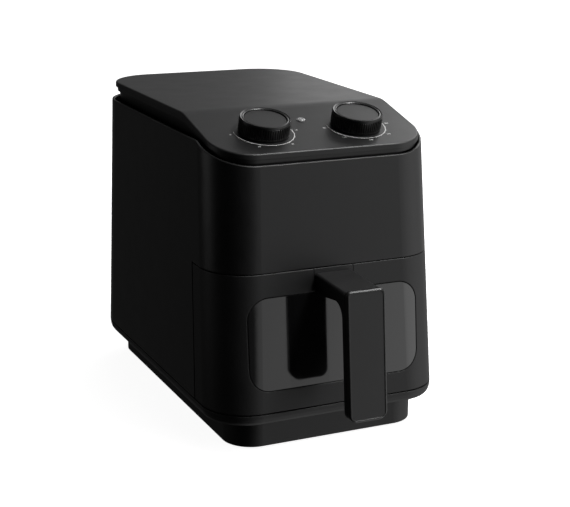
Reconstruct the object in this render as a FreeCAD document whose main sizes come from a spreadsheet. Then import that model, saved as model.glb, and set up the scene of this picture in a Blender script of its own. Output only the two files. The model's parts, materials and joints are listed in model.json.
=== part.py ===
"""Basket air fryer with a windowed drawer, two dial knobs and a sloped control panel.

Frame: millimetres, +Z up, the front faces -Y, +X is to the right as seen from the front.
The origin is on the surface that the feet stand on, under the centre of the overall box.
"""
import FreeCAD, Part
import math
import operator
import os
import Sketcher

Vector = FreeCAD.Vector
doc = FreeCAD.newDocument("AirFryer")
dims = doc.addObject("Spreadsheet::Sheet", "dims")

# name, millimetres or degrees, meaning
DRIVING_DIMENSIONS = (
    ("top_height", 320.0, "surface to the flat of the top cover"),
    ("half_width_top", 119.0, "half width of the body outline at top_height"),
    ("half_width_floor", 127.1, "half width of the body outline carried down to the surface"),
    ("front_top", -130.0, "front of the body outline at top_height"),
    ("front_floor", -163.5, "front of the body outline carried down to the surface"),
    ("rear_top", 220.7, "rear of the body outline at top_height"),
    ("rear_floor", 225.7, "rear of the body outline carried down to the surface"),
    ("front_corner", 45.7, "radius of the front corners in plan"),
    ("rear_corner", 58.7, "radius of the rear corners in plan"),
    ("wall", 2.8, "thickness of the moulded outer walls"),
    ("seam", 1.1, "gap between neighbouring outer mouldings"),
    ("wing_seam", 2.2, "gap between the drawer's wings and the housing"),
    ("drawer_low", 42.2, "middle of the seam under the drawer front"),
    ("drawer_top", 180.2, "middle of the seam over the drawer front"),
    ("wing_depth", 64.5, "depth of the drawer front along the sides"),
    ("rim_front", 282.9, "height of the housing rim at the front"),
    ("rim_side", 301.5, "height of the housing rim along the sides and rear"),
    ("rim_bend", -81.0, "where the side rim starts to fall to the front"),
    ("band_low", 30.6, "lower edge of the band round the base"),
    ("base_half_width", 104.0, "half width of the base at its lower edge"),
    ("base_front", -143.6, "front of the base at its lower edge"),
    ("base_rear", 213.0, "rear of the base at its lower edge"),
    ("base_corner", 30.0, "corner radius of the base at its lower edge"),
    ("base_low", 2.2, "height of the base's lower edge above the surface"),
    ("plinth_top", 29.2, "height of the recessed plinth's upper end"),
    ("foot_radius", 12.0, "radius of a rubber foot"),
    ("foot_x", 80.0, "feet from the middle plane"),
    ("foot_front", -110.0, "front feet"),
    ("foot_rear", 165.0, "rear feet"),
    ("foot_height", 6.0, "height of a rubber foot"),
    ("cover_half_width", 113.6, "half width of the top cover"),
    ("cover_front", -133.0, "front edge of the top cover"),
    ("cover_rear", 220.6, "rear edge of the top cover"),
    ("cover_front_corner", 40.0, "front corner radius of the top cover"),
    ("cover_rear_corner", 53.0, "rear corner radius of the top cover"),
    ("cover_edge", 5.4, "depth of the top cover's edge"),
    ("crease", -29.0, "where the flat of the top cover meets the sloped panel"),
    ("slope", 13.87, "angle of the control panel to the horizontal, degrees"),
    ("collar_step", 2.6, "how far the collar stands inside the cover's edge"),
    ("collar_low", 279.0, "lower edge of the collar"),
    ("knob_x", 50.4, "knobs from the middle plane"),
    ("knob_y", -87.5, "knob centres along the body"),
    ("knob_radius", 25.6, "radius of a knob over its ribs"),
    ("knob_height", 15.6, "height of a knob over the panel"),
    ("knob_gap", 0.8, "running gap under a knob"),
    ("shaft_radius", 3.0, "radius of the dial shafts"),
    ("shaft_fit", 0.05, "radial clearance of a running shaft"),
    ("lens_y", -66.0, "indicator lens along the body"),
    ("window_half_width", 93.0, "half width of the window opening"),
    ("window_low", 63.8, "lower edge of the window opening"),
    ("window_top", 157.2, "upper edge of the window opening"),
    ("window_corner", 22.0, "corner radius of the window opening"),
    ("gasket", 1.2, "visible width of the window gasket"),
    ("grip_half_width", 20.4, "half width of the handle"),
    ("grip_reach", 67.0, "front of the handle from the drawer front"),
    ("grip_depth", 13.5, "depth of the hanging grip"),
    ("grip_panel", 5.5, "depth of the handle's front panel"),
    ("grip_low", 41.6, "lower end of the grip's rear shell, along the drawer front"),
    ("panel_low", 41.2, "lower end of the grip's front panel, along the drawer front"),
    ("panel_top", 169.0, "upper end of the grip's front panel, along the drawer front"),
    ("arm_front", 167.5, "top of the arm over the grip, along the drawer front"),
    ("arm_root", 176.0, "top of the arm at the drawer, along the drawer front"),
    ("arm_height", 20.0, "height of the handle's arm"),
    ("base_block_low", 158.6, "lower edge of the handle's base block"),
    ("basket_half_width", 103.0, "half width of the basket outside"),
    ("basket_front", -130.0, "front wall of the basket outside"),
    ("basket_rear", 134.0, "rear wall of the basket outside"),
    ("basket_low", 54.0, "underside of the basket"),
    ("basket_top", 170.0, "top of the basket rim"),
    ("basket_corner", 15.0, "corner radius of the basket outside"),
    ("basket_wall", 1.2, "sheet thickness of the basket"),
    ("basket_rim", 7.5, "width of the basket's turned-out rim"),
    ("plate_height", 64.0, "underside of the crisper plate"),
    ("plate_sheet", 1.5, "thickness of the crisper plate"),
    ("liner_half_width", 112.5, "half width of the chamber liner inside"),
    ("liner_front", -70.0, "front edge of the chamber liner"),
    ("liner_rear", 144.0, "rear of the chamber liner inside"),
    ("liner_low", 48.0, "top of the chamber liner's floor"),
    ("liner_top", 183.0, "top of the chamber liner"),
    ("switch_y", -112.0, "drawer safety switch along the body"),
    ("sheet", 0.8, "thickness of the steel sheet pieces"),
    ("fan_y", 30.0, "axis of the fans and the motor"),
    ("hood_top", 224.0, "top of the heating hood"),
    ("motor_low", 238.0, "underside of the motor's stator"),
    ("motor_stack", 18.0, "height of the motor's stator"),
    ("motor_shaft_radius", 2.5, "radius of the fan shaft"),
    ("fan_radius", 62.0, "radius of the convection fan"),
    ("cooling_fan_radius", 42.0, "radius of the cooling fan"),
    ("element_tube", 3.3, "radius of the heating element's tube"),
    ("screw_radius", 1.5, "radius of the screws' shanks"),
)

for row, (name, number, meaning) in enumerate(DRIVING_DIMENSIONS, start=1):
    dims.set("A%d" % row, name)
    dims.set("B%d" % row, str(number))
    dims.set("C%d" % row, meaning)
    dims.setAlias("B%d" % row, name)
doc.recompute()


class Size:
    """A number together with the sheet formula that gives it."""

    def __init__(self, number, formula=None):
        self.number = float(number)
        self.formula = formula or repr(float(number))

    def join(self, sign, other, swapped=False):
        other = size_of(other)
        left, right = (other, self) if swapped else (self, other)
        number = SIGNS[sign](left.number, right.number)
        return Size(number, "(%s %s %s)" % (left.formula, sign, right.formula))

    def __add__(self, other):
        return self.join("+", other)

    def __radd__(self, other):
        return self.join("+", other, swapped=True)

    def __sub__(self, other):
        return self.join("-", other)

    def __rsub__(self, other):
        return self.join("-", other, swapped=True)

    def __mul__(self, other):
        return self.join("*", other)

    def __rmul__(self, other):
        return self.join("*", other, swapped=True)

    def __truediv__(self, other):
        return self.join("/", other)

    def __neg__(self):
        return self.join("*", -1.0)


SIGNS = {"+": operator.add, "-": operator.sub, "*": operator.mul, "/": operator.truediv}


def size_of(value):
    return value if isinstance(value, Size) else Size(value)


class Sheet:
    """The sheet's cells as Size values: D.wall is the cell with the alias wall."""

    def __getattr__(self, alias):
        return Size(dims.get(alias), "dims." + alias)


D = Sheet()
ZERO = Size(0.0)
WIDE = 400.0


# ---------------------------------------------------------------- helpers

def bind(piece, path, value):
    """Ties one property of an object to its formula in the sheet."""
    piece.setExpression(path, size_of(value).formula)


def put(piece, at=(0, 0, 0), axis=(0, 0, 1), angle=0):
    """Places an object by formulas: a point, and a turn about an axis in degrees."""
    x, y, z = (size_of(value).formula for value in at)
    turn = size_of(angle).formula
    spin = "create(<<rotation>>; create(<<vector>>; %g; %g; %g); %s)" % (*axis, turn)
    here = "create(<<vector>>; %s; %s; %s)" % (x, y, z)
    piece.setExpression("Placement", "create(<<placement>>; %s; %s)" % (here, spin))
    return piece


def box(name, low, high):
    """A block between two corners."""
    piece = doc.addObject("Part::Box", name)
    for path, start, end in zip(("Length", "Width", "Height"), low, high):
        bind(piece, path, size_of(end) - size_of(start))
    return put(piece, low)


def cylinder(name, radius, height, at=(0, 0, 0), axis=(0, 0, 1), angle=0):
    piece = doc.addObject("Part::Cylinder", name)
    bind(piece, "Radius", radius)
    bind(piece, "Height", height)
    return put(piece, at, axis, angle)


def cone(name, low_radius, high_radius, height, at=(0, 0, 0)):
    piece = doc.addObject("Part::Cone", name)
    bind(piece, "Radius1", low_radius)
    bind(piece, "Radius2", high_radius)
    bind(piece, "Height", height)
    return put(piece, at)


def torus(name, ring_radius, tube_radius, at=(0, 0, 0)):
    piece = doc.addObject("Part::Torus", name)
    bind(piece, "Radius1", ring_radius)
    bind(piece, "Radius2", tube_radius)
    return put(piece, at)


def fuse(name, pieces):
    joined = doc.addObject("Part::MultiFuse", name)
    joined.Shapes = pieces
    joined.Refine = True
    return joined


def group(name, pieces):
    """Several separate solids that share one node."""
    together = doc.addObject("Part::Compound", name)
    together.Links = pieces
    return together


def common(name, first, second):
    overlap = doc.addObject("Part::MultiCommon", name)
    overlap.Shapes = [first, second]
    return overlap


def cut(name, base, *tools):
    """The base less each tool, as one Part::Cut."""
    result = doc.addObject("Part::Cut", name)
    result.Base = base
    result.Tool = tools[0] if len(tools) == 1 else group(name + "_tools", list(tools))
    return result


def body(name):
    return doc.addObject("PartDesign::Body", name)


def sketch(owner, name, role, offset=0):
    """A sketch on one of the body's own origin planes, moved along the plane's normal."""
    drawing = owner.newObject("Sketcher::SketchObject", name)
    plane = [item for item in owner.Origin.OriginFeatures if item.Role == role][0]
    drawing.AttachmentSupport = [(plane, "")]
    drawing.MapMode = "FlatFace"
    bind(drawing, "AttachmentOffset.Base.z", offset)
    return drawing


def fix(drawing, kind, places, value):
    """Adds one dimension to a sketch and ties it to its formula."""
    value = size_of(value)
    index = drawing.addConstraint(Sketcher.Constraint(kind, *places, value.number))
    drawing.setExpression("Constraints[%d]" % index, value.formula)


def fix_point(drawing, element, end, x, y):
    fix(drawing, "DistanceX", (-1, 1, element, end), x)
    fix(drawing, "DistanceY", (-1, 1, element, end), y)


def outline(drawing, points):
    """A closed outline of straight lines through the points."""
    points = [(size_of(x), size_of(y)) for x, y in points]
    corners = [Vector(x.number, y.number, 0) for x, y in points]
    first = drawing.GeometryCount
    count = len(points)
    for index, corner in enumerate(corners):
        drawing.addGeometry(Part.LineSegment(corner, corners[(index + 1) % count]), False)
    for index in range(count):
        following = first + (index + 1) % count
        drawing.addConstraint(Sketcher.Constraint("Coincident", first + index, 2, following, 1))
    for index, (x, y) in enumerate(points):
        fix_point(drawing, first + index, 1, x, y)


def circle(drawing, x, y, radius):
    x, y, radius = size_of(x), size_of(y), size_of(radius)
    ring = Part.Circle(Vector(x.number, y.number, 0), Vector(0, 0, 1), radius.number)
    index = drawing.addGeometry(ring, False)
    fix_point(drawing, index, 3, x, y)
    fix(drawing, "Radius", (index,), radius)


def rounded_outline(drawing, low, high, low_radius, high_radius):
    """A closed rectangle with arcs at its corners: one radius for its lower pair, one for its upper."""
    low = [size_of(value) for value in low]
    high = [size_of(value) for value in high]
    corners = (
        (high[0] - low_radius, low[1] + low_radius, size_of(low_radius), 270),
        (high[0] - high_radius, high[1] - high_radius, size_of(high_radius), 0),
        (low[0] + high_radius, high[1] - high_radius, size_of(high_radius), 90),
        (low[0] + low_radius, low[1] + low_radius, size_of(low_radius), 180),
    )
    first = drawing.GeometryCount
    for x, y, radius, start in corners:
        ring = Part.Circle(Vector(x.number, y.number, 0), Vector(0, 0, 1), radius.number)
        begin = math.radians(start)
        drawing.addGeometry(Part.ArcOfCircle(ring, begin, begin + math.pi / 2), False)
    arcs = [drawing.Geometry[first + index] for index in range(4)]
    for index in range(4):
        following = (index + 1) % 4
        side = Part.LineSegment(arcs[index].EndPoint, arcs[following].StartPoint)
        line = drawing.addGeometry(side, False)
        drawing.addConstraint(Sketcher.Constraint("Tangent", first + index, 2, line, 1))
        drawing.addConstraint(Sketcher.Constraint("Tangent", line, 2, first + following, 1))
    for index, (x, y, radius, _) in enumerate(corners):
        fix_point(drawing, first + index, 3, x, y)
        fix(drawing, "Radius", (first + index,), radius)


def pad(owner, drawing, length, midplane=False, reverse=False, name="pad"):
    feature = owner.newObject("PartDesign::Pad", owner.Name + "_" + name)
    feature.Profile = drawing
    bind(feature, "Length", length)
    feature.Midplane = midplane
    feature.Reversed = reverse
    return feature


def pocket(owner, drawing, length, midplane=False, reverse=False, name="pocket"):
    feature = owner.newObject("PartDesign::Pocket", owner.Name + "_" + name)
    feature.Profile = drawing
    bind(feature, "Length", length)
    feature.Midplane = midplane
    feature.Reversed = reverse
    return feature


def revolve(owner, points, name="turning"):
    """Turns an outline of (radius, height) points about the body's Z axis."""
    drawing = sketch(owner, owner.Name + "_" + name + "_outline", "XZ_Plane")
    outline(drawing, points)
    feature = owner.newObject("PartDesign::Revolution", owner.Name + "_" + name)
    feature.Profile = drawing
    feature.ReferenceAxis = (drawing, ["V_Axis"])
    feature.Angle = 360
    return feature


def loft(name, sections):
    """A ruled loft through level rounded rectangles: (z, low, high, low radius, high radius)."""
    owner = body(name)
    drawings = []
    for index, (z, low, high, low_radius, high_radius) in enumerate(sections):
        drawing = sketch(owner, "%s_section_%d" % (name, index), "XY_Plane", z)
        rounded_outline(drawing, low, high, low_radius, high_radius)
        drawings.append(drawing)
    feature = owner.newObject("PartDesign::AdditiveLoft", name + "_loft")
    feature.Profile = drawings[0]
    feature.Sections = drawings[1:]
    feature.Ruled = True
    return owner


def rounded_block(name, low, high, radius, role="XY_Plane", offset=0, length=1):
    """A padded rounded rectangle."""
    owner = body(name)
    drawing = sketch(owner, name + "_outline", role, offset)
    rounded_outline(drawing, low, high, radius, radius)
    pad(owner, drawing, length, midplane=(role != "XY_Plane"))
    return owner


def side_prism(name, points, half_width=WIDE / 2):
    """An outline of (y, z) points, padded evenly to both sides of the middle plane."""
    owner = body(name)
    drawing = sketch(owner, name + "_outline", "YZ_Plane")
    outline(drawing, points)
    pad(owner, drawing, size_of(half_width) * 2, midplane=True)
    return owner


def fillet(name, base, radius, wanted):
    """Rounds the edges of an object that the test wanted(edge) picks."""
    doc.recompute()
    rounded = doc.addObject("Part::Fillet", name)
    rounded.Base = base
    edges = enumerate(base.Shape.Edges, start=1)
    rounded.Edges = [(number, radius, radius) for number, edge in edges if wanted(edge)]
    return rounded


NODES = []


def node(piece, label):
    """Marks an object as a finished piece of the air fryer."""
    piece.Label = label
    NODES.append(piece)
    return piece


# ---------------------------------------------------------------- shared forms

def between(floor, top, z):
    """A line of the body outline that runs evenly from the surface to top_height."""
    return floor + (top - floor) * z / D.top_height


def half_width_at(z):
    return between(D.half_width_floor, D.half_width_top, z)


def front_at(z):
    return between(D.front_floor, D.front_top, z)


def rear_at(z):
    return between(D.rear_floor, D.rear_top, z)


def wing_at(z):
    """The rear edge of the drawer front's side wings."""
    return front_at(z) + D.wing_depth


def body_section(z, inset=0):
    """The body outline at a height, moved inwards by inset."""
    low = (inset - half_width_at(z), front_at(z) + inset)
    high = (half_width_at(z) - inset, rear_at(z) - inset)
    return (z, low, high, D.front_corner - inset, D.rear_corner - inset)


def envelope(name, inset, low, high):
    """The tapered body form between two heights, moved inwards by inset."""
    return loft(name, [body_section(low, inset), body_section(high, inset)])


def panel_z(y):
    """Height of the top cover's surface on the sloped control panel."""
    return D.top_height - (D.crease - y) * PANEL_FALL


PANEL_FALL = Size(math.tan(math.radians(D.slope.number)), "tan(dims.slope)")
SLOPE_SINE = Size(math.sin(math.radians(D.slope.number)), "sin(dims.slope)")
SLOPE_COSINE = Size(math.cos(math.radians(D.slope.number)), "cos(dims.slope)")
LEAN_RATIO = (D.front_top - D.front_floor) / D.top_height
LEAN = Size(math.degrees(math.atan(LEAN_RATIO.number)), "(atan(%s) / 1 deg)" % LEAN_RATIO.formula)
HALF_SEAM = D.seam / 2
DRAWER_FLOOR = D.drawer_low + HALF_SEAM
DRAWER_CEILING = D.drawer_top - HALF_SEAM
FRONT_LIMIT = D.front_floor - 100
FIT = 0.3


def lean(piece):
    """Stands a piece on the leaning front plane: local Z runs up it, local -Y points out of it."""
    return put(piece, (0, D.front_floor, 0), (1, 0, 0), -LEAN)


def on_panel(piece, x, y, rise=0):
    """Lays a piece on the control panel, its local Z along the panel's normal, raised by rise."""
    rise = size_of(rise)
    return put(piece, (x, y - rise * SLOPE_SINE, panel_z(y) + rise * SLOPE_COSINE), (1, 0, 0), D.slope)


def at_knob(piece, x=0, rise=0):
    return on_panel(piece, x, D.knob_y, rise)


def drawer_zone(name, offset, low, high):
    """The prism that the drawer front takes up, its rear edge moved back by offset."""
    points = [
        (FRONT_LIMIT, low),
        (wing_at(low) + offset, low),
        (wing_at(high) + offset, high),
        (FRONT_LIMIT, high),
    ]
    return side_prism(name, points)


def cover_prism(name, drop_top, drop_low):
    """The layer between two depths below the top cover's surface."""
    front = D.cover_front - 40
    rear = D.cover_rear + 40
    points = [
        (front, panel_z(front) - drop_low),
        (D.crease, D.top_height - drop_low),
        (rear, D.top_height - drop_low),
        (rear, D.top_height - drop_top),
        (D.crease, D.top_height - drop_top),
        (front, panel_z(front) - drop_top),
    ]
    return side_prism(name, points)


def cover_block(name, inset, low, high):
    """The top cover's outline in plan, moved inwards by inset."""
    owner = body(name)
    drawing = sketch(owner, name + "_outline", "XY_Plane", low)
    corner_low = (inset - D.cover_half_width, D.cover_front + inset)
    corner_high = (D.cover_half_width - inset, D.cover_rear - inset)
    rounded_outline(
        drawing, corner_low, corner_high, D.cover_front_corner - inset, D.cover_rear_corner - inset
    )
    pad(owner, drawing, size_of(high) - low)
    return owner


def near(value, target, tolerance=0.6):
    return abs(value - target) < tolerance


# ---------------------------------------------------------------- housing and base

body_form = envelope("body_form", ZERO, DRAWER_FLOOR, D.rim_side + 3)
body_inside = envelope("body_inside", D.wall, D.drawer_low - 3, D.rim_side + 6)
bezel_form = envelope("bezel_form", D.wall + FIT, D.drawer_low + 2, D.drawer_top + 8)


def make_housing():
    """One moulded wall round the sides, rear and upper front, with a stepped rim."""
    fall = (D.rim_side - D.rim_front) / (D.rim_bend - front_at(D.rim_front))
    front = D.rim_bend - 90
    rim_cut = side_prism("rim_cut", [
        (front, D.rim_side - fall * 90),
        (D.rim_bend, D.rim_side),
        (WIDE, D.rim_side),
        (WIDE, WIDE),
        (front, WIDE),
    ])
    rim_tool = fillet("rim_tool", rim_cut, 14.0, lambda edge: (
        near(edge.CenterOfMass.y, D.rim_bend.number) and near(edge.CenterOfMass.z, D.rim_side.number)
    ))
    wing_gap = D.wing_seam - HALF_SEAM
    opening = drawer_zone("drawer_opening", wing_gap, D.drawer_low - 10, D.drawer_top + HALF_SEAM)
    vent = box("vent_opening", (-50, D.rear_top - 30, 224), (50, WIDE, 274))
    inlet = cylinder("inlet_opening", 9.2, 60, (-72, D.rear_top + 30, 74), (1, 0, 0), 90)
    shell = cut("housing_shell", body_form, body_inside)
    trimmed = cut("housing_trimmed", shell, rim_tool, opening, vent, inlet)
    doc.recompute()
    rim_levels = (D.rim_side.number, D.rim_front.number)
    return fillet("housing_rounded", trimmed, 0.9, lambda edge: (
        edge.BoundBox.ZMin > rim_levels[1] - 1 and edge.Length > 20
    ))


node(make_housing(), "outer_housing")


def plinth_section(z, inset):
    """The plinth's outline, moved inwards by inset."""
    low = (inset - D.base_half_width, D.base_front + inset)
    high = (D.base_half_width - inset, D.base_rear - inset)
    return (z, low, high, D.base_corner - inset, D.base_corner + 10 - inset)


def base_form(name, inset, lift, low, high, steps):
    """The base: an upright plinth, then a band whose lower edge curves out to the body's outline."""
    curve = [body_section(D.band_low + lift + rise, inset + step) for rise, step in steps]
    plinth = [plinth_section(low, inset), plinth_section(D.plinth_top + lift, inset)]
    return loft(name, plinth + curve + [body_section(high, inset)])


BAND_CURVE = [(0.0, 6.2), (1.2, 3.5), (3.6, 1.7), (7.0, 0.5)]
BAND_INSIDE = [(0.0, 6.2), (4.9, 0.0)]
SCREW_PLACES = [(x, y) for x in (-62, 62) for y in (-70, 118)]
FLOOR_LOW = D.foot_height
FLOOR_TOP = D.foot_height + 2.5
DECK_TOP = D.drawer_low - HALF_SEAM - 0.4


def make_base():
    outside = base_form(
        "base_outside", ZERO, ZERO, D.base_low, D.drawer_low - HALF_SEAM, BAND_CURVE
    )
    inside = base_form(
        "base_inside", D.wall, D.wall, D.base_low + 0.1, D.drawer_low + 6, BAND_INSIDE
    )
    floor = box("base_floor_zone", (-WIDE, -WIDE, FLOOR_LOW), (WIDE, WIDE, FLOOR_TOP))
    hollow = cut("base_hollow", inside, floor)
    below = rounded_block(
        "base_underside",
        (D.wall - D.base_half_width, D.base_front + D.wall),
        (D.base_half_width - D.wall, D.base_rear - D.wall),
        D.base_corner - D.wall,
        length=D.base_low + 0.2,
    )
    holes = [
        cylinder("base_hole_%d" % index, D.screw_radius + 0.2, 20, (x, y, 0))
        for index, (x, y) in enumerate(SCREW_PLACES)
    ]
    return cut("base_cut", outside, hollow, below, *holes)


node(make_base(), "base_tray")


def make_deck():
    """The chassis plate inside the top of the base, with a post over each base screw."""
    form = envelope("deck_form", D.wall + FIT, DECK_TOP - 2, DECK_TOP)
    posts = [
        cylinder("deck_post_%d" % index, 4, DECK_TOP - 1 - FLOOR_TOP, (x, y, FLOOR_TOP))
        for index, (x, y) in enumerate(SCREW_PLACES)
    ]
    holes = [
        cylinder("deck_hole_%d" % index, D.screw_radius + 0.05, 12, (x, y, FLOOR_LOW))
        for index, (x, y) in enumerate(SCREW_PLACES)
    ]
    return cut("deck_cut", fuse("deck_solid", [form] + posts), *holes)


node(make_deck(), "base_deck")

for end, foot_y in (("front", D.foot_front), ("rear", D.foot_rear)):
    pair = [
        cone("foot_%s_%s" % (end, side), D.foot_radius - 1, D.foot_radius, D.foot_height, (x, foot_y, 0))
        for side, x in (("left", -D.foot_x), ("right", D.foot_x))
    ]
    node(group("foot_pair_" + end, pair), "rubber_feet_" + end)

node(group("base_screw_group", [
    fuse("base_screw_%d" % index, [
        cylinder("base_screw_head_%d" % index, 3, 1.6, (x, y, FLOOR_LOW - 1.6)),
        cylinder("base_screw_shank_%d" % index, D.screw_radius, 11, (x, y, FLOOR_LOW - 1)),
    ])
    for index, (x, y) in enumerate(SCREW_PLACES)
]), "base_screws")


# ---------------------------------------------------------------- top cover and collar

def make_cover():
    """A plate with a deep edge, flat at the rear and sloping at the front."""
    layer = cover_prism("cover_layer", ZERO, D.cover_edge)
    soft_layer = fillet("cover_soft_layer", layer, 60.0, lambda edge: (
        near(edge.CenterOfMass.y, D.crease.number) and edge.BoundBox.XLength > 10
    ))
    top = common("cover_solid", cover_block("cover_outline", ZERO, 250, 340), soft_layer)
    doc.recompute()
    surface = D.top_height.number
    fall = PANEL_FALL.number
    crease = D.crease.number

    def on_top(edge):
        middle = edge.valueAt((edge.FirstParameter + edge.LastParameter) / 2)
        height = surface - max(0.0, crease - middle.y) * fall
        start = edge.valueAt(edge.FirstParameter)
        return middle.z > height - 1.0 and abs(start.x) > 60

    rounded = fillet("cover_rounded", top, 1.8, on_top)
    lower_layer = cover_prism("cover_underside", D.wall, D.cover_edge + 3)
    hollow = common("cover_hollow", cover_block("cover_inside", D.wall, 250, 340), lower_layer)
    holes = [
        on_panel(cylinder("cover_bore_%d" % index, D.shaft_radius + 0.6, 12), x, D.knob_y, -6)
        for index, x in enumerate((-D.knob_x, D.knob_x))
    ]
    light = on_panel(cylinder("cover_light_bore", 4.6, 12), 0, D.lens_y, -6)
    return cut("cover_cut", rounded, hollow, light, *holes)


node(make_cover(), "top_cover")


def make_collar():
    """Two stepped skirts under the cover's edge, and a flange that reaches the housing wall."""
    upper = common(
        "collar_upper",
        cover_block("collar_upper_block", 2.0, 240, 340),
        cover_prism("collar_upper_layer", D.cover_edge, D.cover_edge + 4.6),
    )
    lower = common(
        "collar_lower",
        cover_block("collar_lower_block", 2.0 + D.collar_step, D.collar_low, 340),
        cover_prism("collar_lower_layer", D.cover_edge + 4.6, 120),
    )
    flange = envelope("collar_flange", D.wall + 0.4, D.collar_low, D.collar_low + 1.6)
    core = cover_block("collar_core", 4.4 + D.collar_step, 200, 360)
    return cut("collar_cut", fuse("collar_solid", [upper, lower, flange]), core)


node(make_collar(), "top_collar")


# ---------------------------------------------------------------- control panel

lens = fuse("lens_solid", [
    cylinder("lens_stem", 4.4, 3.9),
    cone("lens_crown", 4.4, 3.0, 0.8, (0, 0, 3.9)),
])
node(on_panel(lens, 0, D.lens_y, -3.2), "indicator_lens")
node(on_panel(cylinder("lamp_solid", 2.5, 9), 0, D.lens_y, -13), "indicator_lamp")

BRACKET_TOP = -8.4
BUSH_RADIUS = 5.0


def make_control_bracket():
    plate = box("bracket_plate", (-82, -24, BRACKET_TOP - 1.2), (82, 27, BRACKET_TOP))
    holes = [
        cylinder("bracket_hole_%d" % index, BUSH_RADIUS + 0.2, 10, (x, 0, BRACKET_TOP - 5))
        for index, x in enumerate((-D.knob_x, D.knob_x))
    ]
    lamp_y = (D.lens_y - D.knob_y) / SLOPE_COSINE
    lamp = cylinder("bracket_lamp_hole", 3.2, 10, (0, lamp_y, BRACKET_TOP - 5))
    ends = [
        box("bracket_end_%d" % index, (x, -24, BRACKET_TOP - 16), (x + 1.2, 27, BRACKET_TOP))
        for index, x in enumerate((-82, 80.8))
    ]
    return at_knob(cut("bracket_cut", fuse("bracket_solid", [plate] + ends), *holes, lamp))


node(make_control_bracket(), "control_bracket")


def dial_body(name, radius, depth, x):
    """A dial switch: a round case under the bracket, and the bush that its shaft turns in."""
    case = cylinder(name + "_case", radius, depth, (0, 0, BRACKET_TOP - 1.3 - depth))
    bush = cylinder(name + "_bush", BUSH_RADIUS, 5.5, (0, 0, BRACKET_TOP - 1.4))
    bore = cylinder(name + "_bore", D.shaft_radius + D.shaft_fit, 20, (0, 0, BRACKET_TOP - 11))
    return at_knob(cut(name + "_cut", fuse(name + "_solid", [case, bush]), bore), x)


node(dial_body("thermostat", 17, 20, D.knob_x), "thermostat_body")
node(dial_body("timer", 20, 24, -D.knob_x), "timer_body")


def knob_ribs(name, low, high):
    """The ribbed band of a knob: fine teeth all round, as one extruded outline."""
    ribs = 64
    outer = D.knob_radius.number
    inner = outer - 0.8
    corners = []
    for index in range(ribs):
        for share, radius in ((0.0, inner), (0.22, inner), (0.38, outer), (0.84, outer)):
            turn = 2 * math.pi * (index + share) / ribs
            corners.append(Vector(radius * math.cos(turn), radius * math.sin(turn), low))
    corners.append(corners[0])
    band = doc.addObject("Part::Feature", name)
    band.Shape = Part.Face(Part.makePolygon(corners)).extrude(Vector(0, 0, high - low))
    return band


def knob(name, x):
    """A dial knob: a plain foot, the ribbed band, a bevelled rim and a recess for the disc."""
    core = body(name + "_core")
    reach = D.knob_radius
    revolve(core, [
        (0, D.knob_gap),
        (reach - 0.2, D.knob_gap),
        (reach - 0.2, 2.4),
        (reach - 1.2, 2.4),
        (reach - 1.2, 13.0),
        (reach - 0.3, 13.0),
        (reach - 0.3, 14.4),
        (reach - 1.0, 15.9),
        (reach - 2.4, D.knob_height - 0.25),
        (reach - 3.4, D.knob_height),
        (reach - 4.2, D.knob_height - 0.5),
        (reach - 4.4, D.knob_height - 2.2),
        (0, D.knob_height - 2.2),
    ])
    doc.recompute()
    ribs = knob_ribs(name + "_ribs", 2.4, 13.0)
    bore = cylinder(name + "_bore", D.shaft_radius + 0.02, 12, (0, 0, -1))
    return at_knob(cut(name + "_cut", fuse(name + "_solid", [core, ribs]), bore), x)


for title, knob_x in (("temperature", D.knob_x), ("timer", -D.knob_x)):
    node(knob(title + "_knob_form", knob_x), title + "_knob")
    disc = body(title + "_disc_form")
    revolve(disc, [
        (0, D.knob_height - 2.15),
        (D.knob_radius - 4.6, D.knob_height - 2.15),
        (D.knob_radius - 4.6, D.knob_height - 1.5),
        (D.knob_radius - 5.1, D.knob_height - 1.1),
        (0, D.knob_height - 1.1),
    ])
    node(at_knob(disc, knob_x), title + "_knob_disc")
    shaft = cylinder(title + "_shaft_form", D.shaft_radius, 29, (0, 0, 0))
    label = "thermostat_shaft" if title == "temperature" else "timer_shaft"
    node(at_knob(shaft, knob_x, -18.5), label)


# ---------------------------------------------------------------- chamber and drawer mouth

BASKET_REACH = D.basket_half_width + D.basket_rim


def make_bezel():
    """The frame behind the drawer front: a shelf over the drawer and a plate round its mouth."""
    shelf_low = D.drawer_top + HALF_SEAM + 0.1
    plate_low = D.drawer_low + 2
    high = wing_at(shelf_low) + 1.2
    low = wing_at(plate_low) + 1.2
    profile = side_prism("bezel_profile", [
        (FRONT_LIMIT, shelf_low),
        (high, shelf_low),
        (low, plate_low),
        (low + 2.4, plate_low),
        (high + 2.4, shelf_low + 2.4),
        (FRONT_LIMIT, shelf_low + 2.4),
    ])
    mouth = box(
        "bezel_mouth",
        (-D.liner_half_width, -160, D.liner_low), (D.liner_half_width, -40, D.basket_top + 6),
    )
    plunger = cylinder("bezel_plunger_hole", 3.0, 20, (0, D.switch_y, shelf_low - 5))
    return cut("bezel_cut", common("bezel_solid", bezel_form, profile), mouth, plunger)


node(make_bezel(), "chamber_bezel")


def make_liner():
    """The bent sheet that lines the drawer's chamber: a floor, two sides and a rear wall."""
    front = D.liner_front
    outside = box(
        "liner_outside",
        (-D.liner_half_width - D.sheet, front, D.liner_low - D.sheet),
        (D.liner_half_width + D.sheet, D.liner_rear + D.sheet, D.liner_top),
    )
    inside = box(
        "liner_inside",
        (-D.liner_half_width, front - 10, D.liner_low),
        (D.liner_half_width, D.liner_rear, D.liner_top + 10),
    )
    return cut("liner_cut", outside, inside)


node(make_liner(), "chamber_liner")

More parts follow.
